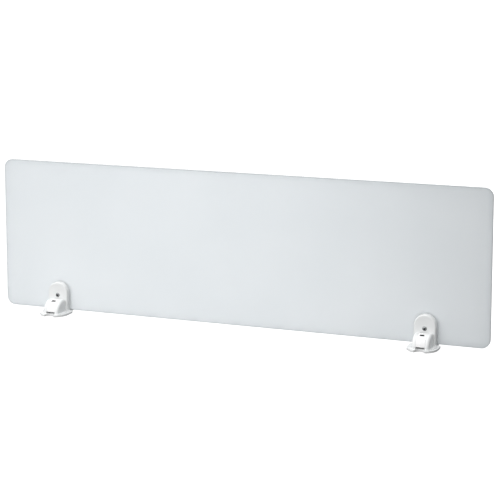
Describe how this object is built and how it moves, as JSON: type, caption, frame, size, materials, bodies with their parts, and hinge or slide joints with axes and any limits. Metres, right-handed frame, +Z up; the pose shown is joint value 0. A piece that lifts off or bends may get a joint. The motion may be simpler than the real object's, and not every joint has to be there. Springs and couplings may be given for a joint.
{
  "type": "desk privacy panel",
  "caption": "Low rectangular frosted privacy sheet with rounded corners, held upright on a desk by arched white clamps on lever-operated suction feet.",
  "frame": {"origin": "centre of the footprint, on the desk surface", "axes": "+X along the sheet to the right as the user sees it, -Y towards the user, +Z up"},
  "size_m": [1.2, 0.0832, 0.366],
  "materials": {
    "acrylic": "frosted, satin",
    "white_abs": "fine moulded texture",
    "lever_abs": "smooth moulded",
    "steel": "zinc plated",
    "nylon": "moulded",
    "rubber": "matt",
    "cup_rubber": "smooth, slightly glossy",
    "foam": "closed-cell foam"
  },
  "bodies": {
    "frame": {"panel": "acrylic", "left_foot": "white_abs", "left_front_pad": "foam", "left_rear_pad": "foam", "left_rear_clamp": "white_abs", "left_clamp_bolt": "steel", "left_nut_washer": "steel", "left_clamp_nut": "steel", "left_nut_cap": "white_abs", "left_panel_bush": "nylon", "left_edge_strip": "rubber", "left_wear_plate": "steel", "left_grip_pads": "rubber", "left_rear_grip": "rubber", "right_foot": "white_abs", "right_front_pad": "foam", "right_rear_pad": "foam", "right_rear_clamp": "white_abs", "right_clamp_bolt": "steel", "right_nut_washer": "steel", "right_clamp_nut": "steel", "right_nut_cap": "white_abs", "right_panel_bush": "nylon", "right_edge_strip": "rubber", "right_wear_plate": "steel", "right_grip_pads": "rubber", "right_rear_grip": "rubber"},
    "left_cup": {"left_cup_stem": "nylon", "left_lever_pin": "steel", "left_suction_cup": "cup_rubber"},
    "left_lever": {"left_lever": "lever_abs"},
    "right_cup": {"right_cup_stem": "nylon", "right_lever_pin": "steel", "right_suction_cup": "cup_rubber"},
    "right_lever": {"right_lever": "lever_abs"}
  },
  "joints": [
    {"name": "left_cup_lift", "type": "slide", "parent": "frame", "child": "left_cup", "axis": [0, 0, 1], "range_m": [-0.00305, 0], "deforming": ["left_suction_cup"]},
    {"name": "left_lever_hinge", "type": "hinge", "parent": "left_cup", "child": "left_lever", "pos_m": [-0.455, -0.00835, 0.018], "axis": [-1, 0, 0], "range_deg": [0, 70]},
    {"name": "right_cup_lift", "type": "slide", "parent": "frame", "child": "right_cup", "axis": [0, 0, 1], "range_m": [-0.00305, 0], "deforming": ["right_suction_cup"]},
    {"name": "right_lever_hinge", "type": "hinge", "parent": "right_cup", "child": "right_lever", "pos_m": [0.455, -0.00835, 0.018], "axis": [-1, 0, 0], "range_deg": [0, 70]}
  ],
  "couplings": [
    {"joint": "left_cup_lift", "follows": "left_lever_hinge", "m_per_rad": -0.0024555},
    {"joint": "right_cup_lift", "follows": "right_lever_hinge", "m_per_rad": -0.0024555}
  ]
}
